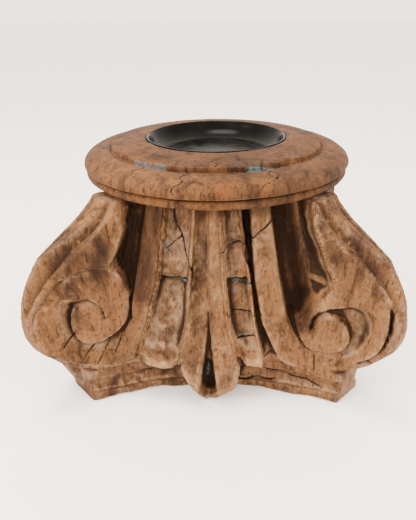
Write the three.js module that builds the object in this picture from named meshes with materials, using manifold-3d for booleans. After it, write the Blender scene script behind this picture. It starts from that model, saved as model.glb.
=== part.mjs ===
// A carved wooden column capital that stands upside down as a low base.
// A turned ring lies on its neck, with a shallow dish let into the top.
// Millimetres, +Z up, origin in the middle of the underside.
import * as THREE from 'three';
import { mergeVertices } from 'three/addons/utils/BufferGeometryUtils.js';
import Module from 'manifold-3d';

const wasm = await Module();
wasm.setup();

// Gap between pieces that touch
const CLEARANCE = 0.3;

// Slab under the scrolls, with hollow sides and cut-off horns
const SLAB_HEIGHT = 35;
const HORN_REACH = 180;
const HORN_WIDTH = 36;
const SIDE_HOLLOW = 25;
const SLAB_FILLET = 9;
const SLAB_COVE = 4;

// Fluted bell between the slab and the ring
const BELL_TOP = 188;
const NECK_RADIUS = 108;
const LIP_RADIUS = 141;
const LIP_SQUARENESS = 0.75;
const TOP_SPREAD = 0.76;
const GROOVE_ANGLE = 1.2;
const RIB_ANGLE = 8.6;
const FLUTE_ANGLE = 14.7;
const STRIP_ANGLE = 11.5;
const GROOVE_DEPTH = 5;
const FLUTE_DEPTH = 8;
const RIB_CROWN = 2;
const STRIP_CROWN = 2;
const POCKET_DEPTH = 14;
const LIP_TUCK = 8;

// Scroll arms on the four diagonals
const ARM_REACH = 221;
const ARM_TOP_REACH = 137;
const ARM_FOOT_REACH = 178;
const ARM_TIP_HALF = 12;
const ARM_TIP_AT = 213;
const ARM_TAPER = 11.6;
const ARM_LEAN = 12;
const BAND_GROOVE = 7;

// Spiral on each side of an arm, measured inward from the tip
const EYE_INSET = 43;
const EYE_HEIGHT = 80;
const EYE_RADIUS = 15;
const SPIRAL_RADIUS = 50;
const SPIRAL_START = -30;
const SPIRAL_TURN = 360;
const CHANNEL_DEPTH = 7;
const HOLLOW_INSET = 82;
const HOLLOW_HEIGHT = 160;
const HOLLOW_WIDTH = 30;
const HOLLOW_LENGTH = 56;
const HOLLOW_DEPTH = 10;

// Bud in the middle of each face
const BUD_HEIGHT = 82;
const BUD_WIDTH = 56;
const BUD_REACH = 147;
const BUD_TIP_REACH = 136;
const BUD_CROWN = 6;
const BUD_NOTCH = 5;

// Turned ring
const RING_RADIUS = 130.5;
const RING_HEIGHT = 32.7;
const BEAD_HEIGHT = 9;
const BEAD_REACH = 129;
const DISC_RADIUS = 103;
const DISC_STEP = 3;

// Dish let into the ring
const DISH_RADIUS = 68.7;
const DISH_DEPTH = 17;
const DISH_WALL = 2.4;
const DISH_FLOOR_RADIUS = 44;

// How finely the round shapes are divided
const RING_SIDES = 48;
const DISH_SIDES = 36;
const BELL_ROWS = 5;
const ARM_ROWS = 10;
const SPIRAL_STEPS = 16;

const rad = THREE.MathUtils.degToRad;
const mix = THREE.MathUtils.lerp;

// A closed three.js geometry becomes a solid that can be joined and cut
function toSolid(geometry) {
  geometry.deleteAttribute('normal');
  geometry.deleteAttribute('uv');
  const merged = mergeVertices(geometry, 1e-4);
  return new wasm.Manifold(new wasm.Mesh({
    numProp: 3,
    vertProperties: new Float32Array(merged.attributes.position.array),
    triVerts: new Uint32Array(merged.index.array),
  }));
}

function toGeometry(solid) {
  const mesh = solid.getMesh();
  const geometry = new THREE.BufferGeometry();
  geometry.setAttribute('position', new THREE.BufferAttribute(new Float32Array(mesh.vertProperties), 3));
  geometry.setIndex(new THREE.BufferAttribute(new Uint32Array(mesh.triVerts), 1));
  geometry.computeVertexNormals();
  return geometry;
}

// Every point of a geometry is moved by one rule
function reshape(geometry, rule) {
  const position = geometry.attributes.position;
  for (let i = 0; i < position.count; i += 1) {
    const p = rule(position.getX(i), position.getY(i), position.getZ(i));
    position.setXYZ(i, p[0], p[1], p[2]);
  }
  return geometry;
}

// A box with sides 2, 2 and 2, cut into cells, whose points follow a rule
function bentBox(cells, rule) {
  return reshape(new THREE.BoxGeometry(2, 2, 2, cells[0], cells[1], cells[2]), rule);
}

function turned(solid, degrees) {
  return solid.rotate([0, 0, degrees]);
}

function fourTimes(solid, firstAngle) {
  return [0, 90, 180, 270].map((angle) => turned(solid, firstAngle + angle));
}

// Slab: concave outline, with a cove between two fillets round its edge
function slab() {
  const along = (HORN_REACH - HORN_WIDTH / 2) / Math.SQRT2;
  const out = (HORN_REACH + HORN_WIDTH / 2) / Math.SQRT2;
  const shape = new THREE.Shape();
  shape.moveTo(-along, -out);
  for (let side = 0; side < 4; side += 1) {
    const c = Math.round(Math.cos(rad(90 * side)));
    const s = Math.round(Math.sin(rad(90 * side)));
    const place = (x, y) => [c * x - s * y, s * x + c * y];
    shape.quadraticCurveTo(...place(0, -out + 2 * SIDE_HOLLOW), ...place(along, -out));
    if (side < 3) {
      shape.lineTo(...place(out, -along));
    }
  }
  shape.closePath();
  const coveSteps = 2;
  const steps = coveSteps + 4;
  const body = new THREE.ExtrudeGeometry(shape, {
    depth: SLAB_HEIGHT,
    steps,
    bevelEnabled: false,
    curveSegments: 6,
  });
  const coveHeight = SLAB_HEIGHT - 2 * SLAB_FILLET;
  const levels = [0, SLAB_FILLET - 1];
  for (let k = 0; k <= coveSteps; k += 1) {
    levels.push(SLAB_FILLET + coveHeight * k / coveSteps);
  }
  levels.push(SLAB_HEIGHT - SLAB_FILLET + 1, SLAB_HEIGHT);
  return toSolid(reshape(body, (x, y, z) => {
    const level = levels[Math.round(z / SLAB_HEIGHT * steps)];
    const v = THREE.MathUtils.clamp((level - SLAB_FILLET) / coveHeight, 0, 1);
    const inCove = level > SLAB_FILLET - 0.5 && level < SLAB_HEIGHT - SLAB_FILLET + 0.5;
    const inset = inCove ? SLAB_COVE * (0.5 + 0.5 * Math.sin(Math.PI * v)) : 0;
    const shrink = 1 - inset / Math.hypot(x, y);
    return [x * shrink, y * shrink, level];
  }));
}

// Bands across half a face of the bell, from its middle to the diagonal
const BANDS = [
  { name: 'groove', angle: GROOVE_ANGLE, cells: 1 },
  { name: 'rib', angle: RIB_ANGLE, cells: 2 },
  { name: 'flute', angle: FLUTE_ANGLE, cells: 4 },
  { name: 'strip', angle: STRIP_ANGLE, cells: 2 },
  { name: 'pocket', angle: 45 - GROOVE_ANGLE - RIB_ANGLE - FLUTE_ANGLE - STRIP_ANGLE, cells: 1 },
];

// How far a band lies below the smooth bell, at w from 0 to 1 across it
function bandDepth(name, w) {
  const arch = 4 * w * (1 - w);
  if (name === 'groove') return GROOVE_DEPTH * (1 - w);
  if (name === 'rib') return -RIB_CROWN * arch;
  if (name === 'flute') return FLUTE_DEPTH * Math.sqrt(arch);
  if (name === 'strip') return -STRIP_CROWN * arch;
  return POCKET_DEPTH * Math.min(1, 1.5 * w + 0.4);
}

function stations() {
  const list = [{ angle: 0, depth: GROOVE_DEPTH, curl: 0 }];
  let from = 0;
  for (const band of BANDS) {
    for (let k = 1; k <= band.cells; k += 1) {
      const w = k / band.cells;
      const curl = band.name === 'flute' ? Math.abs(2 * w - 1) ** 3 : 0;
      list.push({ angle: from + band.angle * w, depth: bandDepth(band.name, w), curl });
    }
    from += band.angle;
  }
  return list;
}

// How far the smooth bell stands from the axis in the middle of a face
function bellReach(z) {
  const down = THREE.MathUtils.clamp((BELL_TOP - z) / (BELL_TOP - SLAB_HEIGHT), 0, 1);
  return mix(NECK_RADIUS, LIP_RADIUS, 0.6 * down + 0.4 * down * down);
}

// Bell: a closed cylinder whose sides take the flutes, ribs and strips
function bell() {
  const list = stations();
  const half = list.length - 1;
  const sides = 8 * half;
  const foot = SLAB_HEIGHT - 1;
  const cylinder = new THREE.CylinderGeometry(1, 1, 2, sides, BELL_ROWS);
  return toSolid(reshape(cylinder, (x, y, z) => {
    const down = (1 - y) / 2;
    const height = mix(BELL_TOP, foot, down ** 0.8);
    if (Math.hypot(x, z) < 0.5) {
      return [0, 0, height];
    }
    const index = Math.round((Math.atan2(x, z) / (2 * Math.PI)) * sides);
    const face = Math.ceil(index / (2 * half) - 0.5);
    const station = list[Math.abs(index - 2 * half * face)];
    const side = Math.sign(index - 2 * half * face);
    const narrow = mix(TOP_SPREAD, 1, down);
    const angle = rad(station.angle > 44.9 ? 45 : station.angle * narrow);
    const flat = 1 + LIP_SQUARENESS * down * (1 / Math.cos(angle) - 1);
    const tuck = down > 0.99 ? LIP_TUCK * (0.35 + station.curl) : 0;
    const reach = bellReach(height) * flat - station.depth - tuck;
    const turn = (face * Math.PI) / 2 + side * angle;
    return [reach * Math.sin(turn), -reach * Math.cos(turn), height];
  }));
}

// Outer line of an arm, from its head under the ring to its foot on the slab
const ARM_LINE = new THREE.SplineCurve([
  new THREE.Vector2(ARM_TOP_REACH, BELL_TOP - 1),
  new THREE.Vector2(153, 173),
  new THREE.Vector2(182, 159),
  new THREE.Vector2(206, 139),
  new THREE.Vector2(ARM_REACH, 100),
  new THREE.Vector2(212, 65),
  new THREE.Vector2(195, 44),
  new THREE.Vector2(ARM_FOOT_REACH, SLAB_HEIGHT - 1),
]);

// Half the thickness of an arm at a distance from the axis and a height
function armHalf(reach, z) {
  const taper = (ARM_TIP_AT - reach) * Math.tan(rad(ARM_TAPER));
  return ARM_TIP_HALF + taper + (EYE_HEIGHT - z) * Math.tan(rad(ARM_LEAN)) / 2;
}

// A point on the side of an arm that runs along +X, given as seen in the spiral's own plane
function armSide(inset, z, out) {
  const reach = ARM_TIP_AT - inset * Math.cos(rad(ARM_TAPER));
  return [reach, -armHalf(reach, z) - out, z];
}

function arm() {
  const heart = NECK_RADIUS / 2;
  return toSolid(bentBox([1, 6, ARM_ROWS], (a, b, c) => {
    const line = ARM_LINE.getPoint((1 - c) / 2);
    const lens = Math.max(0, Math.sin(Math.PI * THREE.MathUtils.clamp((1 - c) / 1.1, 0, 1)));
    const groove = Math.max(0, 1 - Math.abs(Math.abs(b) - 2 / 3) * 3) * lens * BAND_GROOVE;
    const reach = a > 0 ? line.x - groove : heart;
    const half = Math.max(6, armHalf(reach, line.y));
    return [reach, b * half, line.y];
  }));
}

// The channel winds round the eye from the foot of the strip to a hook beside the eye
function channel() {
  return toSolid(bentBox([SPIRAL_STEPS, 3, 1], (a, b, c) => {
    const along = (a + 1) / 2;
    const turn = rad(SPIRAL_START - SPIRAL_TURN * along);
    const inner = EYE_RADIUS * (1 + 1.07 * Math.exp(-along * 5.1));
    const fall = Math.max(0, 1 - along ** 1.6) ** 1.3;
    const outer = inner + 1 + (SPIRAL_RADIUS - EYE_RADIUS) * fall * (1 - 0.45 * Math.exp(-along * 5.1));
    const across = (b + 1) / 2;
    const radius = mix(inner, outer, across);
    const dished = 0.7 + 1.3 * across - 2.15 * across * across;
    const depth = CHANNEL_DEPTH * dished * Math.min(1, (outer - inner) / 12);
    const out = c > 0 ? -depth : CHANNEL_DEPTH * 2;
    return armSide(EYE_INSET + radius * Math.cos(turn), EYE_HEIGHT + radius * Math.sin(turn), out);
  }));
}

// Hollow between the band of an arm and the strip beside it
function armHollow() {
  const ball = new THREE.SphereGeometry(1, 8, 5);
  const rule = (x, y, z) => armSide(
    HOLLOW_INSET - x * HOLLOW_WIDTH / 2 - z * HOLLOW_LENGTH * 0.12,
    HOLLOW_HEIGHT + z * HOLLOW_LENGTH / 2,
    -y * HOLLOW_DEPTH,
  );
  return toSolid(reshape(ball, rule));
}

// Outline of half a bud: half width at a height
const BUD_LINE = new THREE.SplineCurve([
  new THREE.Vector2(0.12, 0),
  new THREE.Vector2(0.55, 0.13),
  new THREE.Vector2(0.95, 0.36),
  new THREE.Vector2(0.98, 0.52),
  new THREE.Vector2(0.72, 0.75),
  new THREE.Vector2(0.46, 1),
]);

function bud() {
  return toSolid(bentBox([4, 1, 5], (a, b, c) => {
    const line = BUD_LINE.getPoint((c + 1) / 2);
    const z = line.y * BUD_HEIGHT;
    const swell = Math.sin(Math.PI * Math.min(1, 0.15 + line.y * 0.85));
    const root = mix(BUD_TIP_REACH, bellReach(BUD_HEIGHT) + RIB_CROWN, line.y);
    const front = root + (BUD_REACH - root) * swell - BUD_CROWN * a * a;
    const notch = Math.abs(a) < 0.1 ? BUD_NOTCH : 0;
    const inside = NECK_RADIUS * 0.85;
    return [a * line.x * BUD_WIDTH / 2, b > 0 ? -inside : -(front - notch), z];
  }));
}

function mirrored(solid) {
  return solid.mirror([0, 1, 0]);
}

// The capital is one carving: bell, slab, four arms and four buds
function capital() {
  const added = [slab(), ...fourTimes(arm(), 45), ...fourTimes(bud(), 0)];
  let body = bell();
  for (const piece of added) {
    body = body.add(piece);
  }
  for (const cutter of [channel(), armHollow()]) {
    for (const piece of [cutter, mirrored(cutter)]) {
      for (const copy of fourTimes(piece, 45)) {
        body = body.subtract(copy);
      }
    }
  }
  return toGeometry(body);
}

function lathe(points, sides) {
  const profile = points.map(([radius, z]) => new THREE.Vector2(radius, z));
  const geometry = new THREE.LatheGeometry(profile, sides);
  return toGeometry(toSolid(reshape(geometry, (x, y, z) => [x, -z, y])));
}

// Height of the recess floor inside the ring
const RING_FLOOR = RING_HEIGHT - DISH_DEPTH - DISH_WALL - CLEARANCE;

// Ring: bead, groove, swelling moulding, step and sloping top, with a recess for the dish
function ring() {
  const beadMiddle = BEAD_HEIGHT / 2;
  const points = [[0, 0]];
  for (const turn of [-90, -40, 0, 40]) {
    const reach = BEAD_REACH - beadMiddle;
    points.push([reach + beadMiddle * Math.cos(rad(turn)), beadMiddle * (1 + Math.sin(rad(turn)))]);
  }
  points.push([RING_RADIUS - 3.5, BEAD_HEIGHT]);
  points.push([RING_RADIUS, BEAD_HEIGHT + 1.5]);
  const swellTop = RING_HEIGHT - 2 * DISC_STEP - 2;
  const swellFoot = BEAD_HEIGHT + 3.5;
  for (let k = 0; k <= 4; k += 1) {
    const turn = rad(90 * k / 4);
    const reach = DISC_RADIUS + 1.5 + (RING_RADIUS - DISC_RADIUS - 1.5) * Math.cos(turn);
    points.push([reach, mix(swellFoot, swellTop, Math.sin(turn))]);
  }
  points.push([DISC_RADIUS, swellTop + DISC_STEP]);
  points.push([DISC_RADIUS - 2, RING_HEIGHT - 4]);
  points.push([DISH_RADIUS + 3, RING_HEIGHT]);
  points.push([DISH_RADIUS + CLEARANCE, RING_HEIGHT - 1]);
  points.push([DISH_RADIUS + CLEARANCE, RING_FLOOR]);
  points.push([0, RING_FLOOR]);
  return lathe(points, RING_SIDES);
}

// Dish: a shallow bowl of even thickness with a flat floor
function dish() {
  const bowl = (radius, floor, floorRadius) => {
    const wall = [];
    for (let k = 0; k <= 3; k += 1) {
      const turn = rad(90 * k / 3);
      wall.push([mix(floorRadius, radius, Math.sin(turn)), mix(DISH_DEPTH + DISH_WALL, floor, Math.cos(turn))]);
    }
    return wall;
  };
  const outside = bowl(DISH_RADIUS, 0, DISH_FLOOR_RADIUS);
  const inside = bowl(DISH_RADIUS - DISH_WALL, DISH_WALL, DISH_FLOOR_RADIUS - DISH_WALL);
  return lathe([[0, 0], ...outside, ...inside.reverse(), [0, DISH_WALL]], DISH_SIDES);
}

const carvedWood = new THREE.MeshStandardMaterial({ color: 0x96693f, roughness: 0.8, metalness: 0 });
const turnedWood = new THREE.MeshStandardMaterial({ color: 0x9a7145, roughness: 0.65, metalness: 0 });
const blackGlaze = new THREE.MeshStandardMaterial({ color: 0x1d1b18, roughness: 0.2, metalness: 0 });

function piece(name, geometry, material, z) {
  const mesh = new THREE.Mesh(geometry, material);
  mesh.name = name;
  mesh.position.z = z;
  return mesh;
}

const base = new THREE.Group();
const ringAt = BELL_TOP + CLEARANCE;
base.add(piece('carved_capital', capital(), carvedWood, 0));
base.add(piece('turned_ring', ring(), turnedWood, ringAt));
base.add(piece('black_dish', dish(), blackGlaze, ringAt + RING_FLOOR + CLEARANCE));

export default base;
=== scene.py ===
import math

import bpy
import numpy as np
import openvdb
from mathutils import Matrix, Vector


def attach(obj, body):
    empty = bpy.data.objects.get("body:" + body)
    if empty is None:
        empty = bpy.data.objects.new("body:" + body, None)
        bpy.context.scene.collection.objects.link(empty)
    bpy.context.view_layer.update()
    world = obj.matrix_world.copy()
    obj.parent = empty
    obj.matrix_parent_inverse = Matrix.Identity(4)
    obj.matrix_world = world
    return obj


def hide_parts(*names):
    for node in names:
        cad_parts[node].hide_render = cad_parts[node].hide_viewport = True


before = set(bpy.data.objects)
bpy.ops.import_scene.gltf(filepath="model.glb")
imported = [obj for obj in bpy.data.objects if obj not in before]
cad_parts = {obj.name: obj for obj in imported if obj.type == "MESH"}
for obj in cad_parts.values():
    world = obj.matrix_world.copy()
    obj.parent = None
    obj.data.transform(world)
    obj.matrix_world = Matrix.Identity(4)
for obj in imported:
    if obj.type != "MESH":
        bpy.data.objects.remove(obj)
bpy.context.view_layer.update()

MM = 0.001
rng = np.random.default_rng(7)

# Sizes of the carving, in millimetres, as in the solids
BELL_TOP = 188.0
SLAB_HEIGHT = 35.0
NECK_RADIUS = 108.0
LIP_REACH = 141.0
LIP_ROUND = 600.0
ARM_TIP_HALF = 12.0
ARM_TIP_AT = 213.0
ARM_TAPER = math.radians(11.6)
ARM_LEAN = math.tan(math.radians(12)) / 2
EYE_HEIGHT = 80.0
HORN_REACH = 180.0
HORN_ALONG = 114.6
HORN_OUT = 140.0
HORN_FLARE = 9.0
HORN_SLOPE = 0.43
SIDE_HOLLOW = 25.0
# Depths and rises of the carving's parts, in millimetres
BELL_SWELL = 3.5
FLUTE_DEPTH = 9.5
TONGUE_STEP = 4.2
RIM_RISE = 2.2
RIM_WIDTH = 1.6
GROOVE_DEPTH = 13.0
THIN_GROOVE_DEPTH = 6.5
STRIP_RISE = 4.6
RIB_HOLLOW = 5.5
RIB_RISE = 5.0
POCKET_WALL = 15.0
WEB = 13.0
THIN_WEB = 6.0
LIP_FILLET = 5.0
EYE_RISE = 2.5
BUD_LOBE = 7.5
BAND_GROOVE = 11.0
BAND_CROWN = 2.5
# Wear of the wood, in millimetres
CRACK_DEPTH = 1.6
CRACK_WIDTH = 1.0
THIN_CRACK_WIDTH = 0.9
PAINT_WIDTH = 1.4
BROAD_WEAR = 0.5
FINE_WEAR = 0.22
EDGE_ROUND = 1.5
BAND_ROUND = 2.5
# Pitch of the field that the capital is carved in, and the triangles kept from it
VOXEL = 1.3
FACES_KEPT = 190000


def step(low, high, v):
    """0 below low, 1 above high and smooth between them."""
    t = np.clip((v - low) / (high - low), 0, 1)
    return t * t * (3 - 2 * t)


def mix(a, b, w):
    return a + (b - a) * w


def along(z, heights, values):
    """A value that changes with height, given at falling heights."""
    return np.interp(z, heights[::-1], values[::-1])


def arch(v, low, high):
    """A round hump over the stretch from low to high, 1 in its middle."""
    w = np.clip((v - low) / (high - low), 0, 1)
    return 4 * w * (1 - w)


def inside(v, low, high, soft):
    """1 between low and high, with soft edges."""
    return step(low - soft, low + soft, v) * (1 - step(high - soft, high + soft, v))


# Where the flutes and strips run, from the middle of a face outward, at four heights
LEVELS = (180, 120, 80, 50)
FRONT_LEFT = {
    "rib": (12, 16, 20.5, 30),
    "flute_in": (12, 16, 20.5, 30),
    "flute_out": (35, 42, 54.5, 68),
    "strip_in": (35.5, 42.5, 55, 69),
    "strip_out": (53, 63, 73, 90),
}
FRONT_RIGHT = {
    "rib": (10, 14, 16, 23),
    "flute_in": (12, 16, 18.5, 24),
    "flute_out": (27, 37, 40, 44),
    "strip_in": (36, 42, 47.5, 59),
    "strip_out": (53, 64, 70.5, 81),
}
PLAIN_HALF = {
    "rib": (11, 15, 18, 26),
    "flute_in": (12, 16, 19, 27),
    "flute_out": (32, 40, 48, 58),
    "strip_in": (34.5, 42, 50.5, 61),
    "strip_out": (53, 63.5, 72, 86),
}
# Edge of an arm's side face, as distance inward from the tip, at falling heights
BROAD_FACE = ((187, 162, 144, 134, 128, 119, 103, 90, 36), (89, 85, 76, 68, 71, 77, 81, 81, 78))
THIN_FACE = ((187, 171, 157, 146, 133, 124, 118, 113, 106, 98, 91, 77, 64, 57, 36),
             (79, 77, 71, 64, 57, 51, 50, 52, 56, 62, 67, 74, 73, 68, 78))
# Scroll lines on an arm's side: the walls of its channel, and the eye as middle and radii
LEFT_SCROLL = {
    "inner": ((100, 118), (82, 104), (79, 89), (74, 78), (65, 71), (53, 67), (43, 66), (32, 71), (26, 82),
              (26, 95), (31, 105), (42, 106), (51, 98), (54, 86)),
    "outer": ((104, 44), (81, 42), (55, 39), (35, 42), (20, 51), (7, 64), (-2, 77), (-4, 93), (-2, 106),
              (5, 115), (16, 118), (31, 115), (46, 108), (54, 97), (56, 86)),
    "eye": (40, 87, 14, 19), "deep": 12, "trough": 0,
    "crease": ((-1, 112), (-5, 100), (-5, 86), (-1, 72), (8, 59), (20, 48)), "crease_deep": 3.5,
    "ridge": ((-8, -2, 8, 22, 41, 61, 72, 80), (98, 112, 121, 132, 136.5, 134, 129, 124)),
}
RIGHT_SCROLL = {
    "inner": ((98, 112), (84, 84), (78, 70), (68, 59), (57, 56), (47, 57), (37, 61), (31, 69), (30, 79),
              (35, 88), (45, 92), (55, 90), (61, 82), (62, 73)),
    "outer": ((102, 30), (80, 31), (54, 29), (33, 42), (15, 56), (7, 74), (4, 91), (10, 104), (19, 110),
              (30, 110), (42, 104), (54, 98), (63, 88), (66, 78), (65, 71)),
    "eye": (46, 75, 15, 17), "deep": 12, "trough": 1,
    "crease": ((6, 121), (-1, 112), (-3, 98), (-2, 82), (3, 66), (13, 51)), "crease_deep": 10,
    "ridge": None,
}
PLAIN_SCROLL = {
    "inner": ((100, 116), (82, 98), (79, 84), (73, 74), (63, 66), (53, 62), (43, 62), (33, 67), (28, 77),
              (28, 89), (34, 98), (44, 100), (53, 94), (57, 83)),
    "outer": ((104, 38), (81, 37), (55, 35), (35, 42), (18, 53), (7, 67), (0, 82), (0, 96), (5, 107),
              (14, 113), (26, 113), (42, 108), (54, 98), (61, 87), (60, 79)),
    "eye": (43, 81, 14, 18), "deep": 11, "trough": 0,
    "crease": ((2, 118), (-3, 104), (-4, 88), (-1, 74), (6, 60), (16, 50)), "crease_deep": 4,
    "ridge": ((-8, -2, 8, 22, 41, 61, 72, 80), (100, 114, 123, 132, 136, 133, 128, 122)),
}
# Lower outline of the upper carving: height at a distance from the middle of a face
LEFT_LIP = ((30, 38, 48, 61, 68, 72, 80, 93, 110, 123, 136, 150),
            (46, 38, 37, 40, 47, 45, 40, 38, 41, 49, 60, 66))
RIGHT_LIP = ((24, 30, 38, 46, 54, 60, 73, 93, 112, 128, 137, 150),
             (50, 41, 40, 42, 49, 46, 37, 32, 41, 56, 66, 70))
PLAIN_LIP = ((27, 34, 44, 54, 61, 66, 76, 93, 111, 125, 136, 150),
             (48, 40, 39, 41, 49, 46, 39, 36, 41, 52, 62, 68))

FRONT = {
    "middle": (-5, -6, -4, -1), "notch": (-4, -5),
    "left": {"run": FRONT_LEFT, "edge": BROAD_FACE, "scroll": LEFT_SCROLL, "lip": LEFT_LIP,
             "pocket": 6, "tongue": 116, "hollow_rib": True},
    "right": {"run": FRONT_RIGHT, "edge": THIN_FACE, "scroll": RIGHT_SCROLL, "lip": RIGHT_LIP,
              "pocket": 19, "tongue": 117, "hollow_rib": False},
    "bud": {"left": (29, 29, 21, 8), "right": (19, 26, 23, 7)},
    # Cracks as lines across the face
    "cracks": (
        ((7, 146), (18, 150), (30, 157), (45, 165), (58, 180)),
        ((-35, 180), (-28, 155), (-19, 130)),
        ((-28, 155), (-41, 145)),
        ((16, 117), (35, 118)),
        ((14, 87), (44, 88)),
        ((22, 65), (38, 66)),
        ((-46, 119), (-22, 116)),
        ((26, 178), (28, 150), (31, 128)),
        ((-70, 24), (-40, 27), (-18, 25)),
        ((30, 26), (60, 22), (100, 14)),
        ((20, 8), (60, 12)),
    ),
    # Dark marks as lines with their reach and strength, partly stains and mostly painted shade along the
    # pockets, in the deep groove and the bud's notch, under the ring and under the carving's lip; and
    # traces of blue paint
    "stains_and_shade": (
        (((-51, 179), (-58, 140), (-66, 104)), 11, 0.8),
        (((-66, 104), (-72, 80), (-80, 60)), 10, 0.4),
        (((-74, 150), (-78, 112)), 7, 0.7),
        (((60, 178), (68, 140), (78, 112), (82, 80)), 12, 1.0),
        (((26, 180), (29, 140)), 4, 0.8),
        (((-100, 176), (-92, 150), (-100, 130)), 9, 0.6),
        (((-60, 182), (60, 182)), 8, 0.5),
        (((-90, 22), (-40, 26)), 7, 0.5),
        (((30, 24), (110, 20)), 7, 0.4),
        (((-4, 32), (-5, 14)), 5, 0.8),
    ),
    "paint": (((-41, 152), (-43, 138)), ((-40, 119), (-25, 115)), ((17, 115), (33, 116)),
              ((20, 112), (19, 104)), ((-62, 60), (-57, 55)), ((-5, 40), (-6, 26)), ((24, 66), (33, 66))),
    # Cracks of the arms' sides, as distance inward from the tip and height
    "arm_cracks": {
        "left": (((44, 65), (26, 50)), ((55, 62), (39, 43)), ((28, 83), (12, 67)), ((66, 63), (58, 50)),
                 ((-2, 130), (-5, 112), (-8, 100), (-10, 86), (-8, 71), (-3, 60), (6, 49))),
        "right": (((58, 52), (55, 34)), ((10, 60), (-4, 52))),
    },
}
# The three faces out of view are plainer, and alike
PLAIN_SIDE = {"run": PLAIN_HALF, "edge": BROAD_FACE, "scroll": PLAIN_SCROLL, "lip": PLAIN_LIP,
              "pocket": 7, "tongue": 117, "hollow_rib": False}
PLAIN = {
    "middle": (0, 0, 0, 0), "notch": (0, 0),
    "left": PLAIN_SIDE,
    "right": dict(PLAIN_SIDE, flare=HORN_FLARE),
    "bud": {"left": (24, 28, 22, 8), "right": (24, 28, 22, 8)},
    "cracks": (((-30, 175), (-24, 140), (-26, 96)), ((20, 150), (48, 143)), ((-60, 20), (30, 24))),
    # stains, with painted shade under the ring, along the pockets and under the carving's lip
    "stains_and_shade": (
        (((-60, 180), (60, 180)), 10, 0.6),
        (((-60, 175), (-70, 110)), 10, 0.6),
        (((62, 170), (74, 100)), 10, 0.7),
        (((-80, 24), (80, 24)), 7, 0.4),
    ),
    "paint": (((18, 117), (30, 116)), ((-34, 116), (-20, 117))),
    "arm_cracks": {"left": (((44, 60), (28, 44)),), "right": (((20, 66), (4, 58)),)},
}


def rounded(points, steps):
    """A smooth line through given points, by Catmull-Rom."""
    p = [np.array(q, float) for q in points]
    p = [2 * p[0] - p[1]] + p + [2 * p[-1] - p[-2]]
    line = []
    for a, b, c, d in zip(p[:-3], p[1:-2], p[2:-1], p[3:]):
        for k in range(steps):
            t = k / steps
            bend = (2 * a - 5 * b + 4 * c - d) * t ** 2
            line.append(0.5 * (2 * b + (c - a) * t + bend + (3 * b - a - 3 * c + d) * t ** 3))
    line.append(p[-2])
    return [tuple(q) for q in line]


def away(x, z, line):
    """Distance of each point from a line."""
    best = np.full(np.shape(x), 1e6)
    for (ax, az), (bx, bz) in zip(line[:-1], line[1:]):
        dx, dz = bx - ax, bz - az
        t = np.clip(((x - ax) * dx + (z - az) * dz) / (dx * dx + dz * dz), 0, 1)
        best = np.minimum(best, np.hypot(x - ax - t * dx, z - az - t * dz))
    return best


def enclosed(x, z, line):
    """Whether each point lies within a closed line."""
    odd = np.zeros(np.shape(x), bool)
    for (ax, az), (bx, bz) in zip(line, line[1:] + line[:1]):
        if az != bz:
            odd ^= ((az > z) != (bz > z)) & (x < (bx - ax) * (z - az) / (bz - az) + ax)
    return odd


def soften(grid, radius, pitch):
    """A map smoothed by a Gaussian of the given radius in millimetres."""
    pad = int(3 * radius / pitch) + 1
    wide = np.pad(grid, pad, mode="edge")
    fx = np.fft.fftfreq(wide.shape[0])[:, None]
    fz = np.fft.rfftfreq(wide.shape[1])[None, :]
    spread = np.exp(-2 * (np.pi * radius / pitch) ** 2 * (fx ** 2 + fz ** 2))
    return np.fft.irfft2(np.fft.rfft2(wide) * spread, wide.shape)[pad:-pad, pad:-pad]


def bell_reach(x, z):
    """Distance of the smooth bell from the axis plane of a face."""
    down = np.clip((BELL_TOP - z) / (BELL_TOP - SLAB_HEIGHT), 0, 1)
    middle = NECK_RADIUS + (LIP_REACH - NECK_RADIUS) * (0.6 * down + 0.4 * down ** 2)
    radius = 1 / (mix(1 / NECK_RADIUS, 1 / LIP_ROUND, down))
    aside = np.minimum(np.abs(x), radius * 0.93)
    return middle - (radius - np.sqrt(radius ** 2 - aside ** 2))


def arm_plane(x, z):
    """Distance of an arm's side from the axis plane, where x counts outward."""
    t = math.tan(ARM_TAPER)
    root = math.sqrt(2)
    reach = ARM_TIP_HALF + ARM_TIP_AT * t + (EYE_HEIGHT - z) * ARM_LEAN
    return (reach + x * (1 - t) / root) * root / (1 + t)


def arm_inset(x, y):
    """Distance inward from an arm's tip, seen along its side."""
    return (ARM_TIP_AT - (x + y) / math.sqrt(2)) / math.cos(ARM_TAPER)


def slab_reach(x, z, flare=0):
    """Distance of the slab's hollow side, with its cove between two fillets."""
    w = np.abs(x) / HORN_ALONG
    curve = HORN_OUT - SIDE_HOLLOW * (1 - np.minimum(w, 1) ** 2)
    curve = curve + np.maximum(np.abs(x) - HORN_ALONG, 0) * HORN_SLOPE
    curve = curve + flare * step(2, 34, z) * step(96, 118, np.abs(x))
    cove = inside(z, 9, 26, 0.8) * (2.2 + 1.8 * arch(z, 7, 28))
    return curve - cove


def smooth_max(a, b, k):
    """The larger of two values, rounded where they meet within k."""
    h = np.maximum(k - np.abs(a - b), 0) / k
    return np.maximum(a, b) + h * h * k * 0.25


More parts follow.
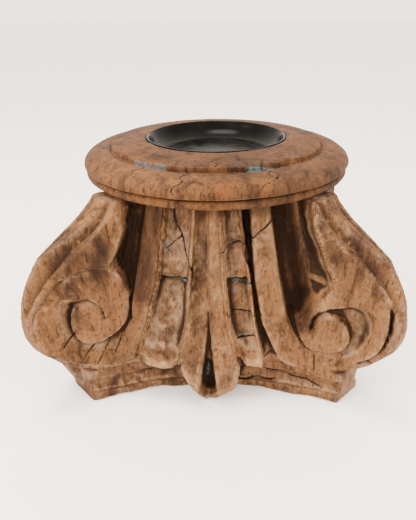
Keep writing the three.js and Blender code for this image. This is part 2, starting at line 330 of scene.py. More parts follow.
def scroll_relief(s, z, scroll):
    """Depth of the scroll's channel, creases and eye below an arm's side."""
    inner = rounded(scroll["inner"], 4)
    outer = rounded(scroll["outer"], 4)
    from_in = away(s, z, inner)
    from_out = away(s, z, outer)
    hollowed = enclosed(s, z, inner + outer[::-1])
    gap = from_in + from_out
    w = from_in / np.maximum(gap, 0.5)
    deep = scroll["deep"] * np.clip(gap / 15, 0.45, 1)
    if scroll["trough"]:
        profile = 1 - 0.9 * step(0.6, 1.0, w)
        deep = deep * mix(0.55, 1, step(40, 78, z))
        outer_wall = step(0, 2.5, from_out)
    else:
        profile = np.clip(1.1 - 1.05 * w ** 1.3, 0, 1)
        outer_wall = step(0, 1.5, from_out)
    fade = 1 - step(60, 92, s) * step(100, 80, z)
    fade = fade * (1 - step(84, 96, s))
    channel = hollowed * deep * profile * step(0, 2.0, from_in) * outer_wall * fade
    wall_foot = hollowed * 7 * np.exp(-((from_in - 1.5) / 2.6) ** 2) * step(48, 62, s) * step(118, 100, z)
    channel = np.maximum(channel, wall_foot)
    from_crease = away(s, z, rounded(scroll["crease"], 4))
    crease = scroll["crease_deep"] * np.exp(-(from_crease / 2.2) ** 2) * step(122, 104, z)
    es, ez, rs, rz = scroll["eye"]
    round_eye = np.hypot((s - es) / rs, (z - ez) / rz)
    eye = EYE_RISE * np.sqrt(np.clip(1 - round_eye ** 2, 0, 1))
    relief = np.maximum(channel, crease * (1 - hollowed)) - eye * (1 - hollowed)
    if scroll["ridge"]:
        line = np.interp(s, *scroll["ridge"])
        below = np.maximum(line - z, 0)
        lowered = 4.5 * np.exp(-below / 9) * step(-0.6, 1.4, line - z) * (1 - hollowed)
        lowered = lowered * step(-6, 6, s) * (1 - step(74, 82, s)) * step(90, 112, z)
        relief = relief + lowered - 1.2 * np.exp(-((z - line - 0.8) / 1.4) ** 2) * (s < 80)
    return relief


def half_face(x, z, side, level):
    """Distance of one half of a face from the axis plane, with x counted outward."""
    run = {k: along(z, LEVELS, v) for k, v in side["run"].items()}
    u = x - level
    lip = np.interp(np.abs(x), *side["lip"])
    over = z - lip
    smooth_bell = bell_reach(x, z) + BELL_SWELL * step(80, 48, z)
    mid = (run["flute_in"] + run["flute_out"]) / 2
    v = (u - mid) / np.maximum((run["flute_out"] - run["flute_in"]) / 2, 1)
    cup = FLUTE_DEPTH * np.sqrt(np.clip(1 - v ** 2, 0, 1)) * step(1, 20, over)
    tongue_edge = side["tongue"] + 6 * v ** 2
    tongue = step(0.8, -0.8, z - tongue_edge) * (np.abs(v) < 0.93)
    cup = cup + TONGUE_STEP * tongue * mix(0.4, 1, step(60, 110, z))
    rims = RIM_RISE * np.exp(-((u - run["flute_in"]) / RIM_WIDTH) ** 2)
    rims = rims + RIM_RISE * np.exp(-((u - run["flute_out"]) / RIM_WIDTH) ** 2)
    rims = rims + 2.0 * np.exp(-((over - 3) / 2.4) ** 2) * (np.abs(v) < 1)
    gap = run["strip_in"] - run["flute_out"]
    groove = GROOVE_DEPTH * inside(u, run["flute_out"] + 1.8, run["strip_in"] - 0.3, 1.2) * (gap > 4)
    thin_groove = np.exp(-((u - run["flute_out"] - gap / 2 - 0.8) / 1.4) ** 2) * (gap <= 4)
    groove = groove + THIN_GROOVE_DEPTH * thin_groove
    strip = STRIP_RISE * np.sqrt(arch(u, run["strip_in"] - 1, run["strip_out"] + 1) + 1e-6)
    strip = strip * mix(0.15, 1, step(48, 84, z))
    if side["hollow_rib"]:
        rib = -RIB_HOLLOW * np.sqrt(arch(u, 0.5, run["rib"] - 2.5) + 1e-6)
        rib = rib + 2.8 * np.exp(-((u - run["rib"] + 1.4) / 1.7) ** 2)
        centre = 2.0 * np.exp(-(u / 1.3) ** 2)
    else:
        rib = RIB_RISE * np.sqrt(arch(u, -1, run["rib"] + 1) + 1e-6)
        centre = 5.5 * np.exp(-(u / 1.5) ** 2)
        centre = centre + 3.5 * np.exp(-((u - run["rib"] - 0.4) / 1.5) ** 2)
    pocket = side["pocket"] * step(run["strip_out"] - 0.5, run["strip_out"] + 2.5, u) * step(62, 84, z)
    bell = smooth_bell + rib + strip + rims - cup - groove - centre - pocket
    plane = arm_plane(x, z)
    # Wood left on the diagonal between two faces, so that no pocket breaks through
    web = np.minimum(np.abs(x) + WEB, smooth_bell)
    web = np.maximum(web, np.minimum(np.abs(x) + THIN_WEB, plane))
    bell = np.where(u > run["strip_out"], np.maximum(bell, web), bell)
    s = arm_inset(x, plane)
    edge = along(z, *side["edge"])
    if side["pocket"] > 8:
        inward = np.clip((s - edge) / POCKET_WALL, 0, 1)
        wall = bell + (plane - bell) * (1 - inward) ** 2.4
        crest = plane - 5 - 0.75 * np.maximum(s - 50, 0) - ((z - 117 + 0.14 * (s - 50)) / 1.3) ** 2
        wall = np.where((s > edge) & (z > 66), smooth_max(np.maximum(wall, bell), crest, 3), bell)
        bell = mix(bell, wall, step(-1, 3, u - run["strip_out"]))
    on_arm = 1 - step(-1.0, 1.4, s - edge)
    sharp = mix(bell, plane, on_arm)
    joined = smooth_max(bell, plane, 20)
    upper = mix(joined, sharp, step(72, 88, z))
    upper = upper - scroll_relief(s, z, side["scroll"]) * np.where(z > 84, on_arm, 1)
    above = step(-0.8, 1.6, over)
    lip_round = LIP_FILLET * np.exp(-np.maximum(over, 0) / 4.0)
    slab = slab_reach(x, np.minimum(z, SLAB_HEIGHT - 1), side.get("flare", 0))
    slab = slab - 1.5 * step(SLAB_HEIGHT - 0.5, SLAB_HEIGHT + 0.5, z)
    under = np.where(z > SLAB_HEIGHT, np.minimum(slab, upper - 4), slab)
    return mix(under, np.maximum(upper - lip_round, under), above)


# Heights at which the bud's edges are given
BUD_LEVELS = (60, 42, 20, 4)


def bud(x, z, face):
    """Distance of the bud from the axis plane, and where it shows."""
    middle = along(z, LEVELS, face["middle"])
    left = middle - along(z, (80,) + BUD_LEVELS, (face["left"]["run"]["rib"][2],) + face["bud"]["left"])
    right = middle + along(z, (80,) + BUD_LEVELS, (face["right"]["run"]["rib"][2],) + face["bud"]["right"])
    reach = along(z, (90, 80, 60, 42, 30, 15, 5, 0), (127, 132, 140.5, 147, 147.5, 143, 137, 134))
    notch_half = along(z, (79, 60, 40, 18, 12, 8), (0.4, 2.4, 5.0, 7.6, 5.0, 1.0))
    notch_at = along(z, (79, 18), face["notch"])
    lobe_left = arch(x, left - 2, notch_at + 1) * (x < notch_at)
    lobe_right = arch(x, notch_at - 1, right + 2) * (x >= notch_at)
    lobes = BUD_LOBE * np.sqrt(lobe_left + lobe_right + 1e-6)
    notch = 1 - step(-1.5, 1.5, np.abs(x - notch_at) - notch_half)
    notch = notch * along(z, (80, 60, 15, 8), (4, 12, 14, 4))
    ridge = 2.5 * np.exp(-((x - notch_at + notch_half + 2) / 1.6) ** 2) * step(80, 55, z)
    body = reach - BUD_LOBE + lobes - notch * step(6, 10, z) + ridge
    shown = inside(x, left, right, 1.2) * step(96, 78, z)
    return np.where(right - left > 2, body, 0), shown


def face_map(x, z, face, pitch):
    """Distance of a whole face from the axis plane, and its marks for the shader."""
    middle = along(z, LEVELS, face["middle"])
    left = half_face(-x, z, face["left"], -middle)
    right = half_face(x, z, face["right"], middle)
    both = np.where(x < middle, left, right)
    body, shown = bud(x, z, face)
    reach = mix(both, np.maximum(both, body), shown)
    cracks = np.zeros_like(reach)
    for line in face["cracks"]:
        wander = away(x + 1.2 * np.sin(z / 4.3), z + 1.2 * np.sin(x / 3.7), line)
        cracks = np.maximum(cracks, np.exp(-(wander / CRACK_WIDTH) ** 2))
    for hand, sign in (("left", -1), ("right", 1)):
        s = arm_inset(sign * x, arm_plane(sign * x, z))
        on_side = s < along(z, *face[hand]["edge"]) + 12
        for line in face["arm_cracks"][hand]:
            wander = away(s, z + 0.8 * np.sin(s / 3), line)
            crack = np.exp(-(wander / THIN_CRACK_WIDTH) ** 2)
            cracks = np.maximum(cracks, crack * on_side * (sign * x > 0))
    # stains and painted shade, drawn along the face's lines
    stain_and_shade = np.zeros_like(reach)
    for line, radius, strength in face["stains_and_shade"]:
        stain_and_shade = np.maximum(stain_and_shade, strength * np.exp(-(away(x, z, line) / radius) ** 2))
    paint = np.zeros_like(reach)
    for line in face["paint"]:
        paint = np.maximum(paint, np.exp(-(away(x, z, line) / PAINT_WIDTH) ** 2))
    wear = soften(rng.standard_normal(reach.shape), 6, pitch)
    fine = soften(rng.standard_normal(reach.shape), 1.8, pitch)
    reach = reach + BROAD_WEAR * wear / wear.std() + FINE_WEAR * fine / fine.std()
    broad = np.clip((soften(reach, 7, pitch) - reach) / 7, -1, 1)
    narrow = np.clip((soften(reach, 2.2, pitch) - reach) / 1.6, -1, 1)
    hollow = np.clip(0.9 * broad + 0.6 * np.maximum(narrow, 0), -1, 1)
    marks = {"hollow": hollow, "cracks": cracks, "stain_and_shade": stain_and_shade, "paint": paint}
    return reach - CRACK_DEPTH * cracks, marks


# Outer line of an arm, as distance from the axis at falling heights
ARM_LINE = ((195, 188, 183, 173, 165, 160, 150, 140, 130, 118, 106, 95, 84, 73, 62, 51, 43, 37, 35.5),
            (133, 137, 141, 155, 170, 181, 200, 208, 214, 219, 221, 222, 221, 217, 209, 200, 190, 178, 172))
# How far an arm's edge is cut back, at falling heights
BEVEL = ((190, 180, 174, 165, 154, 144, 134, 123, 111, 100), (1, 5, 8, 16, 22, 18, 11, 5, 1.5, 0))


def band_map(t, z, near):
    """Distance of an arm's outer band from the axis, and its grooves; near is the side cut back more."""
    half = ARM_TIP_HALF + (ARM_TIP_AT - along(z, *ARM_LINE)) * math.tan(ARM_TAPER)
    half = half + (EYE_HEIGHT - z) * ARM_LEAN
    half = np.maximum(8, half)
    w = t / half
    lens = np.clip(np.sin(np.pi * np.clip((z - 106) / 84, 0, 1)), 0, 1) ** 0.6
    pair = np.exp(-((w - 0.62) / 0.15) ** 2) + np.exp(-((w + 0.62) / 0.15) ** 2)
    grooves = BAND_GROOVE * lens * pair
    cut = along(z, *BEVEL) * (step(0.35, 0.8, w * near) if near else 0.35 * step(0.4, 0.85, np.abs(w)))
    crown = BAND_CROWN * np.minimum(w ** 2, 1.3)
    line = along(z, *ARM_LINE) - grooves - crown - cut
    horn = HORN_REACH + (HORN_FLARE * step(2, 34, z) * step(0.2, -0.4, w * near) if near < 0 else 0)
    return np.where(z < SLAB_HEIGHT, horn, line), grooves / BAND_GROOVE


# Maps of the faces, kept so that the mesh can read its marks from them
MAPS = {}
# The four diagonals, each with the side of its arm that is cut back more, or 0
CORNERS = ((-1, -1, -1), (1, -1, 1), (1, 1, 0), (-1, 1, 0))
# How strongly the grooves of an arm's band are marked, as painted shade in the grooves
BAND_MARKS = {"hollow": 0.3, "stain_and_shade": 0.75}


def carved_field(axis, heights):
    """Signed field of the carved capital in millimetres, negative inside."""
    x2, z2 = np.meshgrid(axis, heights, indexing="ij")
    pitch = float(axis[1] - axis[0])

    def walls(name, face):
        reach, marks = face_map(x2, z2, face, pitch)
        MAPS[name] = (reach, marks, axis[0], heights[0], pitch)
        gx, gz = np.gradient(reach, pitch, pitch)
        return reach.astype(np.float32), np.sqrt(1 + np.clip(gx ** 2 + gz ** 2, 0, 20)).astype(np.float32)

    front, front_slope = walls("front", FRONT)
    plain, plain_slope = walls("plain", PLAIN)
    ax = axis.astype(np.float32)
    X = ax[:, None, None]
    Y = ax[None, :, None]
    field = (-Y - front[:, None, :]) / front_slope[:, None, :]
    field = smooth_max(field, (X - plain[None, :, :]) / plain_slope[None, :, :], EDGE_ROUND)
    field = smooth_max(field, (Y - plain[::-1][:, None, :]) / plain_slope[::-1][:, None, :], EDGE_ROUND)
    field = smooth_max(field, (-X - plain[::-1][None, :, :]) / plain_slope[::-1][None, :, :], EDGE_ROUND)
    x3, y3 = np.meshgrid(ax, ax, indexing="ij")
    zs = heights.astype(np.float32)[None, :]
    for sx, sy, near in CORNERS:
        r = (sx * x3 + sy * y3) / math.sqrt(2)
        t = (x3 * sy - y3 * sx) / math.sqrt(2)
        close = np.nonzero((r > 90) & (np.abs(t) < 75))
        reach = band_map(t[close][:, None], zs, near)[0].astype(np.float32)
        field[close] = smooth_max(field[close], (r[close][:, None] - reach) / 1.25, BAND_ROUND)
    Z = heights.astype(np.float32)[None, None, :]
    field = np.maximum(field, Z - (BELL_TOP - 0.2))
    chip = soften(rng.standard_normal((len(axis), len(axis))), 7, pitch)
    chip = 1.2 * np.clip(chip / chip.std() - 0.4, 0, 3)
    inner = np.maximum(np.abs(X), np.abs(Y)) < 100
    field = np.maximum(field, 0.1 + np.where(inner, 0, chip[:, :, None]) - Z)
    return np.clip(field, -3 * pitch, 3 * pitch)


def face_marks(points):
    """Marks at points of the carving, read from the maps of the faces."""
    x, y, z = points.T
    sides = (("front", x, -y), ("plain", y, x), ("plain", -x, y), ("plain", -y, -x))
    best = np.full(len(x), 1e6)
    found = {label: np.zeros(len(x)) for label in ("hollow", "cracks", "stain_and_shade", "paint")}
    for name, across, out in sides:
        reach, marks, x0, z0, pitch = MAPS[name]
        i = np.clip((across - x0) / pitch, 0, reach.shape[0] - 1.001)
        k = np.clip((z - z0) / pitch, 0, reach.shape[1] - 1.001)
        i0, k0 = i.astype(int), k.astype(int)
        fi, fz = i - i0, k - k0

        def read(grid):
            low = grid[i0, k0] * (1 - fi) + grid[i0 + 1, k0] * fi
            high = grid[i0, k0 + 1] * (1 - fi) + grid[i0 + 1, k0 + 1] * fi
            return low * (1 - fz) + high * fz

        miss = np.abs(read(reach) - out)
        closer = miss < best
        best = np.where(closer, miss, best)
        for label in found:
            found[label] = np.where(closer, read(marks[label]), found[label])
    for sx, sy, near in CORNERS:
        r = (sx * x + sy * y) / math.sqrt(2)
        t = (x * sy - y * sx) / math.sqrt(2)
        reach, grooves = band_map(t, z, near)
        band = (np.abs(r - reach) < np.minimum(best, 3)) & (np.abs(t) < 70) & (z > SLAB_HEIGHT)
        for label in found:
            found[label] = np.where(band, BAND_MARKS.get(label, 0) * grooves, found[label])
    return found


def field_mesh(name, field, origin, pitch):
    """Turns a signed field into a Blender mesh in metres."""
    grid = openvdb.FloatGrid(3 * pitch)
    grid.copyFromArray(np.ascontiguousarray(field, dtype=np.float64))
    grid.gridClass = openvdb.GridClass.LEVEL_SET
    points, triangles, quads = grid.convertToPolygons(isovalue=0.0, adaptivity=0.0)
    points = (points * pitch + np.array(origin)) * MM
    mesh = bpy.data.meshes.new(name)
    faces = [tuple(f) for f in triangles.tolist()] + [tuple(f) for f in quads.tolist()]
    mesh.from_pydata(points.tolist(), [], faces)
    mesh.update()
    return mesh


def link(name, mesh):
    piece = bpy.data.objects.new(name, mesh)
    bpy.context.scene.collection.objects.link(piece)
    return piece


def apply_modifier(piece, kind, **settings):
    modifier = piece.modifiers.new(kind.title(), kind)
    for key, value in settings.items():
        setattr(modifier, key, value)
    depsgraph = bpy.context.evaluated_depsgraph_get()
    made = bpy.data.meshes.new_from_object(piece.evaluated_get(depsgraph))
    piece.modifiers.clear()
    piece.data = made
    return piece


def carve():
    """Makes the carved capital from its field, thinned to the triangles kept."""
    reach = 168.0
    axis = np.arange(-reach, reach + VOXEL / 2, VOXEL)
    axis = axis - (axis[0] + axis[-1]) / 2
    heights = np.arange(-3 * VOXEL, BELL_TOP + 4 * VOXEL, VOXEL)
    field = carved_field(axis, heights)
    mesh = field_mesh("carved_capital_wood", field, (axis[0], axis[0], heights[0]), VOXEL)
    piece = link("carved_capital_wood", mesh)
    count = sum(len(p.vertices) - 2 for p in mesh.polygons)
    print("carved capital triangles before thinning", count)
    if count > FACES_KEPT:
        apply_modifier(piece, "DECIMATE", ratio=FACES_KEPT / count)
    piece.data.shade_smooth()
    return piece


def turned_piece(name, profile, sides, wear=0.0):
    """A piece turned on the lathe from a closed profile of (radius, height) in millimetres."""
    rings = np.array(profile, float)
    angles = np.linspace(0, 2 * np.pi, sides, endpoint=False)
    points = []
    index = []
    for radius, height in rings:
        if radius < 1e-6:
            index.append([len(points)] * sides)
            points.append((0, 0, height * MM))
        else:
            index.append(list(range(len(points), len(points) + sides)))
            uneven = np.sin(3 * angles + 1) + np.sin(8 * angles + height / 5)
            uneven = uneven + 0.7 * np.sin(19 * angles + height / 2)
            worn = (radius + wear * uneven) * MM
            points += [(w * math.cos(a), w * math.sin(a), height * MM) for w, a in zip(worn, angles)]
    faces = []
    for low, high in zip(index[:-1], index[1:]):
        for i in range(sides):
            j = (i + 1) % sides
            corners = [low[i], low[j], high[j], high[i]]
            faces.append(tuple(dict.fromkeys(corners)))
    mesh = bpy.data.meshes.new(name)
    mesh.from_pydata(points, [], faces)
    mesh.update()
    mesh.shade_smooth()
    return link(name, mesh)


# Sizes of the ring and the dish, in millimetres, and the sides they are turned with
RING_FOOT = 188.3
RING_WEAR = 0.28
RING_SIDES = 480
RECESS_RADIUS = 69.0
RECESS_FLOOR = 13.1
DISH_FLOOR = 201.6
DISH_SIDES = 192


def ring():
    z = RING_FOOT
    bead = rounded([(123, z), (127.5, z + 1.6), (129, z + 4.5), (127.6, z + 7.4), (125, z + 8.7)], 5)
    fillet = rounded([(125, z + 8.7), (126.5, z + 9.4), (129.6, z + 10.2), (130.2, z + 12)], 3)
    swell = rounded([(130.2, z + 12), (129.4, z + 15.5), (126, z + 19.5), (119, z + 22.8),
                     (110, z + 24.6), (106, z + 24.2), (103.6, z + 23.4)], 6)
    top = rounded([(102.8, z + 23.6), (102.6, z + 27), (101.6, z + 28.6), (96, z + 29.4),
                   (80, z + 31.6), (72.5, z + 32.4)], 5)
    mouth = rounded([(72.5, z + 32.4), (70.4, z + 32.2), (69.2, z + 31), (RECESS_RADIUS, z + 28)], 4)
    recess = [(RECESS_RADIUS, z + RECESS_FLOOR), (0, z + RECESS_FLOOR)]
    profile = [(0, z)] + bead + fillet[1:] + swell[1:] + top + mouth[1:] + recess
    return turned_piece("turned_ring_wood", profile, RING_SIDES, RING_WEAR)


def dish():
    z = DISH_FLOOR
    outside = rounded([(44, z), (56, z + 2.6), (64.5, z + 9.5), (68.6, z + 18)], 6)
    rim = rounded([(68.6, z + 18), (68.4, z + 19.2), (67.4, z + 19.3), (66.6, z + 18.2)], 4)
    hollow = rounded([(66.6, z + 18.2), (62, z + 10.4), (54, z + 4.8), (42, z + 2.5)], 6)
    profile = [(0, z)] + outside + rim[1:] + hollow[1:] + [(0, z + 2.4)]
    return turned_piece("black_dish_glazed", profile, DISH_SIDES)


# The photo's camera, fitted to the ring, the dish and the slab's corners
FOCAL_LENGTH = 32.7
CAMERA_DISTANCE = 0.475
CAMERA_HEIGHT = 0.325
CAMERA_TURN = math.radians(1.55)
CAMERA_TILT = math.radians(90 - 27.3)
CAMERA_ROLL = math.radians(-0.44)
PHOTO_HEIGHT = 520


def camera():
    data = bpy.data.cameras.new("camera")
    data.lens = FOCAL_LENGTH
    data.sensor_width = 36
    data.shift_x = -8.9 / PHOTO_HEIGHT
    data.shift_y = 0.3 / PHOTO_HEIGHT
    data.dof.use_dof = False
    view = bpy.data.objects.new("camera", data)
    bpy.context.scene.collection.objects.link(view)
    across = CAMERA_DISTANCE * math.sin(CAMERA_TURN)
    view.location = (across, -CAMERA_DISTANCE * math.cos(CAMERA_TURN), CAMERA_HEIGHT)
    turned = Matrix.Rotation(CAMERA_TURN, 4, "Z") @ Matrix.Rotation(CAMERA_TILT, 4, "X")
    turned = turned @ Matrix.Rotation(CAMERA_ROLL, 4, "Z")
    view.rotation_mode = "QUATERNION"
    view.rotation_quaternion = turned.to_quaternion()
    bpy.context.scene.camera = view


class Nodes:
    """Short names for making and joining shader nodes."""

    def __init__(self, name):
        self.material = bpy.data.materials.new(name)
        self.material.use_nodes = True
        self.tree = self.material.node_tree
        self.shader = self.tree.nodes["Principled BSDF"]

    def add(self, kind, **values):
        node = self.tree.nodes.new(kind)
        for key, value in values.items():
            self.put(node.inputs[key], value)
        return node

    def put(self, socket, value):
        if isinstance(value, bpy.types.NodeSocket):
            self.tree.links.new(value, socket)
        else:
            socket.default_value = value

    def math(self, operation, a, b):
        node = self.tree.nodes.new("ShaderNodeMath")
        node.operation = operation
        self.put(node.inputs[0], a)
        self.put(node.inputs[1], b)
        return node.outputs[0]

    def ramp(self, value, low, high, out_low=0.0, out_high=1.0):
        node = self.tree.nodes.new("ShaderNodeMapRange")
        node.interpolation_type = "SMOOTHSTEP"
        for socket, v in zip(node.inputs[:5], (value, low, high, out_low, out_high)):
            self.put(socket, v)
        return node.outputs[0]

    def mix(self, factor, a, b):
        node = self.tree.nodes.new("ShaderNodeMix")
        node.data_type = "RGBA"
        self.put(node.inputs["Factor"], factor)
        self.put(node.inputs[6], a)
        self.put(node.inputs[7], b)
        return node.outputs[2]

    def noise(self, scale, detail, stretch=(1, 1, 1), rough=0.55, distortion=0.0):
        place = self.tree.nodes.new("ShaderNodeTexCoord").outputs["Object"]
        mapping = self.add("ShaderNodeMapping", Vector=place, Scale=stretch)
        node = self.tree.nodes.new("ShaderNodeTexNoise")
        self.put(node.inputs["Vector"], mapping.outputs[0])
        node.inputs["Scale"].default_value = scale
        node.inputs["Detail"].default_value = detail
        node.inputs["Roughness"].default_value = rough
        node.inputs["Distortion"].default_value = distortion
        return node.outputs["Fac"]

    def attribute(self, name):
        node = self.tree.nodes.new("ShaderNodeAttribute")
        node.attribute_name = name
        return node.outputs["Fac"]


# Colours of the wood's wear and grain, with painted light: the hollows' colour is painted shade, the rubbed
# colour is wear and painted highlight on ridges, and the soil colour is stains and painted shade
DUST = "846C58"
PORE = "1A0E07"
RUBBED_AND_HIGHLIGHT = "93704C"
HOLLOW_PAINTED_SHADE = "150A05"
SOIL_AND_SHADE = "22120A"
RED_PATCH = "6E3A1A"
BLUE_PAINT = "567175"
CRACK = "0D0704"


def srgb(text):
    """Hex colour to linear RGBA."""
    values = [int(text[i:i + 2], 16) / 255 for i in (0, 2, 4)]
    return tuple(v / 12.92 if v <= 0.04045 else ((v + 0.055) / 1.055) ** 2.4 for v in values) + (1.0,)


def old_wood(name, light, mid, dark, dusty):
    """Old bare wood with grain, dusty hollows, rubbed ridges with a painted highlight, stains with painted
    shade, hollows darkened as painted shade, paint traces and cracks.
    """
    n = Nodes(name)
    broad = n.noise(9, 3)
    streak = n.noise(70, 6, (1, 1, 0.16), 0.7, 0.5)
    pores = n.noise(420, 3, (1, 1, 0.22), 0.7)
    mottle = n.noise(42, 8, (1, 1, 0.6), 0.75)
    speckle = n.noise(260, 6, (1, 1, 1), 0.8)
    hollow = n.attribute("hollow")
    ridge = n.attribute("ridge")
    stain_and_shade = n.attribute("stain_and_shade")
    colour = n.mix(n.ramp(broad, 0.38, 0.62), srgb(mid), srgb(light))
    colour = n.mix(n.ramp(streak, 0.44, 0.68, 0.0, 0.85), colour, srgb(dark))
    colour = n.mix(n.ramp(mottle, 0.48, 0.66, 0.0, 0.75), colour, srgb(light))
    dust = n.math("MULTIPLY", n.ramp(hollow, 0.06, 0.4), n.ramp(mottle, 0.4, 0.6))
    dust = n.math("MULTIPLY", dust, n.ramp(hollow, 0.45, 0.8, 1.0, 0.0))
    dust = n.math("MULTIPLY", dust, n.ramp(stain_and_shade, 0.1, 0.6, 1.0, 0.2))
    colour = n.mix(n.math("MULTIPLY", dust, dusty), colour, srgb(DUST))
    colour = n.mix(n.ramp(mottle, 0.34, 0.47, 0.42, 0.0), colour, srgb(dark))
    colour = n.mix(n.ramp(speckle, 0.48, 0.64, 0.0, 0.5), colour, srgb(dark))
    colour = n.mix(n.ramp(pores, 0.54, 0.66, 0.0, 0.65), colour, srgb(PORE))
    # rubbed wear and painted highlight: the ridges and proud parts lightened
    rubbed_and_highlit = n.math("MULTIPLY", n.ramp(ridge, 0.12, 0.6), n.ramp(mottle, 0.4, 0.6, 0.35, 1.0))
    colour = n.mix(rubbed_and_highlit, colour, srgb(RUBBED_AND_HIGHLIGHT))
    # painted shade: the hollows darkened nearly to black
    colour = n.mix(n.ramp(hollow, 0.33, 0.85, 0.0, 0.93), colour, srgb(HOLLOW_PAINTED_SHADE))
    # stains, and painted shade in the pockets, grooves and under overhangs, darkening the wood
    soiled_and_shaded = n.math("MULTIPLY", n.ramp(stain_and_shade, 0.05, 0.9), n.ramp(streak, 0.3, 0.6, 0.6, 1.0))
    colour = n.mix(n.math("MULTIPLY", soiled_and_shaded, 0.85), colour, srgb(SOIL_AND_SHADE))
    colour = n.mix(n.ramp(stain_and_shade, -0.3, -0.9, 0.0, 0.3), colour, srgb(RED_PATCH))
    paint = n.math("MULTIPLY", n.ramp(n.attribute("paint"), 0.3, 0.7), n.ramp(speckle, 0.42, 0.56))
    colour = n.mix(n.math("MULTIPLY", paint, 0.45), colour, srgb(BLUE_PAINT))
    colour = n.mix(n.ramp(n.attribute("cracks"), 0.3, 0.7), colour, srgb(CRACK))
    n.put(n.shader.inputs["Base Color"], colour)
    n.put(n.shader.inputs["Roughness"], n.ramp(mottle, 0.3, 0.7, 0.7, 0.9))
    n.shader.inputs["Specular IOR Level"].default_value = 0.11
    rough = n.math("ADD", n.math("MULTIPLY", streak, 0.5), n.math("MULTIPLY", pores, 0.35))
    rough = n.math("ADD", rough, n.math("MULTIPLY", mottle, 0.5))
    bump = n.add("ShaderNodeBump", Height=rough, Strength=0.8, Distance=0.0018)
    n.put(n.shader.inputs["Normal"], bump.outputs[0])
    return n.material


def glaze():
    n = Nodes("black_glaze")
    cloud = n.noise(40, 3)
    n.put(n.shader.inputs["Base Color"], n.mix(n.ramp(cloud, 0.4, 0.7), srgb("060504"), srgb("0C0B09")))
    n.put(n.shader.inputs["Roughness"], n.ramp(n.noise(90, 4), 0.3, 0.7, 0.14, 0.24))
    n.shader.inputs["Specular IOR Level"].default_value = 0.04
    bump = n.add("ShaderNodeBump", Height=cloud, Strength=0.15, Distance=0.001)
    n.put(n.shader.inputs["Normal"], bump.outputs[0])
    return n.material


def plain_floor():
    n = Nodes("pale_floor")
    n.shader.inputs["Base Color"].default_value = srgb("F7F0EB")
    n.shader.inputs["Roughness"].default_value = 0.95
    return n.material


# Rounds of smoothing that show the fine and the broad hollows of a mesh
SMOOTHING_ROUNDS = (3, 14)


def shape_marks(piece, carved=False):
    """Stores how hollow or how proud each point lies, found by smoothing the mesh."""
    mesh = piece.data
    count = len(mesh.vertices)
    co = np.empty(count * 3)
    mesh.vertices.foreach_get("co", co)
    co = co.reshape(-1, 3)
    normals = np.empty(count * 3)
    mesh.vertices.foreach_get("normal", normals)
    normals = normals.reshape(-1, 3)
    edges = np.empty(len(mesh.edges) * 2, int)
    mesh.edges.foreach_get("vertices", edges)
    a, b = edges.reshape(-1, 2).T
    degree = np.bincount(a, minlength=count) + np.bincount(b, minlength=count)
    degree = np.maximum(degree, 1)[:, None]
    height = []
    smoothed = co.copy()
    done = 0
    for target in SMOOTHING_ROUNDS:
        while done < target:
            total = np.zeros_like(smoothed)
            for k in range(3):
                total[:, k] = np.bincount(a, smoothed[b, k], count) + np.bincount(b, smoothed[a, k], count)
            smoothed = 0.4 * smoothed + 0.6 * total / degree
            done += 1
        height.append(((co - smoothed) * normals).sum(1) * 1000)
    fine, broad = height
    hollow = np.clip(-(broad * 0.3 + fine * 0.9), 0, 1.2) / 1.2
    ridge = np.clip(fine * 0.9 + broad * 0.15, 0, 1.0)
    marks = {"cracks": np.zeros(count), "stain_and_shade": np.zeros(count), "paint": np.zeros(count)}
    if carved:
        marks = face_marks(co * 1000)
        deep = marks.pop("hollow")
        hollow = np.clip(np.maximum(deep, 0) * 0.9 + hollow * 0.5, 0, 1)
        ridge = np.clip(ridge + np.maximum(-deep, 0) * 0.4, 0, 1)
    else:
        marks.update(ring_marks(co * 1000))
    marks.update(hollow=hollow, ridge=ridge)
    for label, value in marks.items():
        layer = mesh.attributes.new(label, "FLOAT", "POINT")
        layer.data.foreach_set("value", value.astype(np.float32))


# Cracks of the ring, each from one angle and radius to another
RING_CRACKS = (
    ((-101, 103), (-103, 130)),
    ((-66, 96), (-66, 122)),
    ((-124, 104), (-124, 118)),
    ((-90, 88), (-88, 101)),
    ((-58, 112), (-71, 127)),
    ((-76, 84), (-74, 99)),
    ((-20, 80), (-24, 118)),
    ((75, 84), (79, 122)),
    ((160, 90), (163, 125)),
)


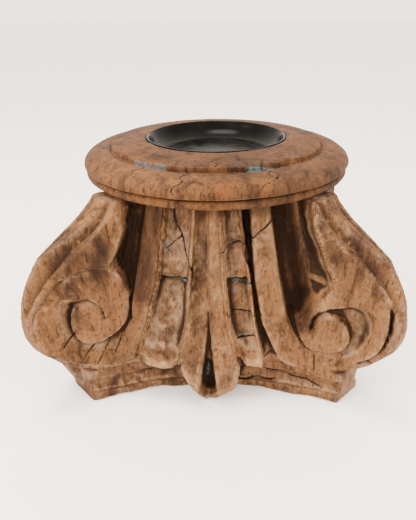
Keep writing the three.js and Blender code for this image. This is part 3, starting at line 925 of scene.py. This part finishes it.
def ring_marks(points):
    """Cracks, paint, stains and a dark line at the foot of the top's step on the ring, placed by angle and
    radius.
    """
    x, y, z = points.T
    angle = np.degrees(np.arctan2(y, x))
    radius = np.hypot(x, y)
    upper = z > RING_FOOT + 9
    cracks = np.zeros(len(x))
    for (a0, r0), (a1, r1) in RING_CRACKS:
        w = np.clip((radius - r0) / (r1 - r0), 0, 1)
        miss = np.hypot((angle - mix(a0, a1, w) - 1.2 * np.sin(radius / 2.1)) * np.radians(1) * radius,
                        np.maximum(np.maximum(r0 - radius, radius - r1), 0))
        cracks = np.maximum(cracks, np.exp(-(miss / THIN_CRACK_WIDTH) ** 2) * upper)
    step_line = np.exp(-((radius - 103.2) / 0.7) ** 2) * (z > RING_FOOT + 22)
    arcs = inside(angle, -75, -54, 3) + inside(angle, -133, -112, 3) + 0.6 * inside(angle, 30, 70, 3)
    low_line = np.exp(-((z - RING_FOOT - 9) / 0.8) ** 2) * inside(angle, -48, -28, 3)
    paint = np.clip(step_line * arcs + low_line, 0, 1)
    patch = np.exp(-(((angle + 86) / 4) ** 4 + ((radius - 126) / 5) ** 4)) * upper
    # a dark line along the foot of the step up to the top, and the top darker all over
    stain_and_shade = 0.8 * np.exp(-((radius - 104) / 1.2) ** 2) * (z > RING_FOOT + 20)
    stain_and_shade = np.maximum(stain_and_shade, 0.5 * np.exp(-((radius - 99) / 3.5) ** 2) * inside(angle, -110, -70, 8))
    stain_and_shade = np.maximum(stain_and_shade, 0.42 * (radius < 102) * (z > RING_FOOT + 20))
    return {"cracks": cracks, "paint": paint, "stain_and_shade": stain_and_shade - patch}


def light(name, place, aim, size, power, colour):
    data = bpy.data.lights.new(name, "AREA")
    data.shape = "DISK"
    data.size = size
    data.energy = power
    data.color = colour
    lamp = bpy.data.objects.new(name, data)
    bpy.context.scene.collection.objects.link(lamp)
    lamp.location = place
    lamp.rotation_mode = "QUATERNION"
    lamp.rotation_quaternion = (Vector(aim) - Vector(place)).to_track_quat("-Z", "Y")


def studio():
    mesh = bpy.data.meshes.new("floor")
    half = 40.0
    corners = [(-half, -half, 0), (half, -half, 0), (half, half, 0), (-half, half, 0)]
    mesh.from_pydata(corners, [], [(0, 1, 2, 3)])
    floor = link("floor", mesh)
    floor.data.materials.append(plain_floor())
    world = bpy.data.worlds.new("studio")
    bpy.context.scene.world = world
    world.use_nodes = True
    backdrop = world.node_tree.nodes["Background"]
    backdrop.inputs["Color"].default_value = srgb("FBF2EA")
    backdrop.inputs["Strength"].default_value = 3.6
    light("top", (-0.15, -0.1, 1.4), (0, 0, 0.1), 0.6, 26, (1.0, 0.96, 0.9))
    light("left", (-1.1, -0.7, 0.8), (0, 0, 0.1), 0.6, 26, (1.0, 0.95, 0.88))
    light("right", (1.2, -0.5, 0.6), (0, 0, 0.1), 0.6, 15, (1.0, 0.95, 0.88))


camera()
studio()

capital = carve()
shape_marks(capital, carved=True)
capital.data.materials.append(old_wood("carved_wood", "704C2E", "4A321E", "1E1009", 0.6))
ring_piece = ring()
shape_marks(ring_piece)
ring_piece.data.materials.append(old_wood("turned_wood", "5F3D22", "422B18", "1C0F07", 0.35))
dish_piece = dish()
dish_piece.data.materials.append(glaze())

for made, node, slot in (
    (capital, "carved_capital", "carved_wood"),
    (ring_piece, "turned_ring", "turned_wood"),
    (dish_piece, "black_dish", "black_glaze"),
):
    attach(made, "root")
    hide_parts(node)
